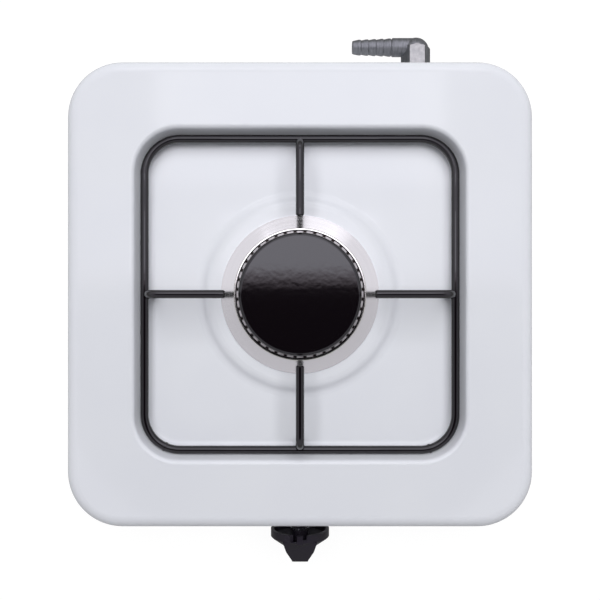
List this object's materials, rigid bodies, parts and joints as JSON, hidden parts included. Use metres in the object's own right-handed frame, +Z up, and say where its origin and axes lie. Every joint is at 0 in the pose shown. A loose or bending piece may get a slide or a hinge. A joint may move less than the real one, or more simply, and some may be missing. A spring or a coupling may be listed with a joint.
{
  "type": "countertop gas hotplate",
  "caption": "Square white enamelled countertop gas hotplate with a round burner, wire pan support, front tap knob and a hose elbow behind.",
  "frame": {"origin": "on the worktop, straight under the middle of the burner", "axes": "+Z up, the knob faces -Y, the hose elbow stands behind the back wall at +X"},
  "size_m": [0.295, 0.3483, 0.085],
  "materials": {
    "white_enamel": "gloss vitreous enamel on drawn steel",
    "black_enamel": "gloss vitreous enamel",
    "turned_aluminium": "fine turned",
    "cast_aluminium": "die cast",
    "brass": "turned",
    "zinc_plated_steel": "zinc plated",
    "spring_steel": "oiled",
    "zinc_casting": "die cast zinc, machined barbs",
    "black_plastic": "satin moulded",
    "black_rubber": "matt",
    "copper_pipe": "drawn copper",
    "red_fibre": "pressed fibre"
  },
  "bodies": {
    "hob": {"top_shell": "white_enamel", "foot_front_left": "black_rubber", "foot_front_right": "black_rubber", "foot_back_left": "black_rubber", "foot_back_right": "black_rubber", "spill_ring": "turned_aluminium", "burner_cup": "cast_aluminium", "cup_screws": "zinc_plated_steel", "mixing_tube": "cast_aluminium", "injector": "brass", "valve_body": "brass", "valve_bonnet": "zinc_plated_steel", "bonnet_screws": "zinc_plated_steel", "tap_bracket": "zinc_plated_steel", "tap_bracket_screws": "zinc_plated_steel", "gas_pipe": "copper_pipe", "tap_pipe_nut": "brass", "tap_olive": "brass", "inlet_pipe_nut": "brass", "inlet_olive": "brass", "inlet_fitting": "brass", "inlet_lock_nut": "zinc_plated_steel", "sealing_washer": "red_fibre", "hose_elbow": "zinc_casting", "burner_strap": "zinc_plated_steel", "strap_screws": "zinc_plated_steel"},
    "pan_support": {"pan_support_ring": "black_enamel", "finger_front": "black_enamel", "finger_back": "black_enamel", "finger_left": "black_enamel", "finger_right": "black_enamel"},
    "crown": {"burner_crown": "cast_aluminium"},
    "cap": {"burner_cap": "black_enamel"},
    "shutter": {"air_shutter": "spring_steel"},
    "plug": {"valve_plug": "brass", "return_spring": "spring_steel"},
    "spindle": {"valve_spindle": "zinc_plated_steel", "knob": "black_plastic", "knob_clip": "spring_steel"}
  },
  "joints": [
    {"name": "pan_support_lift", "type": "slide", "parent": "hob", "child": "pan_support", "axis": [0, 0, 1], "range_m": [0, 0.06]},
    {"name": "crown_lift", "type": "slide", "parent": "hob", "child": "crown", "axis": [0, 0, 1], "range_m": [0, 0.03]},
    {"name": "cap_lift", "type": "slide", "parent": "crown", "child": "cap", "axis": [0, 0, 1], "range_m": [0, 0.02]},
    {"name": "tap_turn", "type": "hinge", "parent": "hob", "child": "plug", "pos_m": [0, -0.12, 0.037], "axis": [0, -1, 0], "range_deg": [0, 180]},
    {"name": "knob_push", "type": "slide", "parent": "plug", "child": "spindle", "axis": [0, 1, 0], "range_m": [0, 0.003], "stiffness_N_per_m": 1000, "springref_m": -0.002, "deforming": ["return_spring"]},
    {"name": "air_shutter_turn", "type": "hinge", "parent": "hob", "child": "shutter", "pos_m": [0, -0.092, 0.037], "axis": [0, -1, 0], "range_deg": [0, 60]}
  ]
}
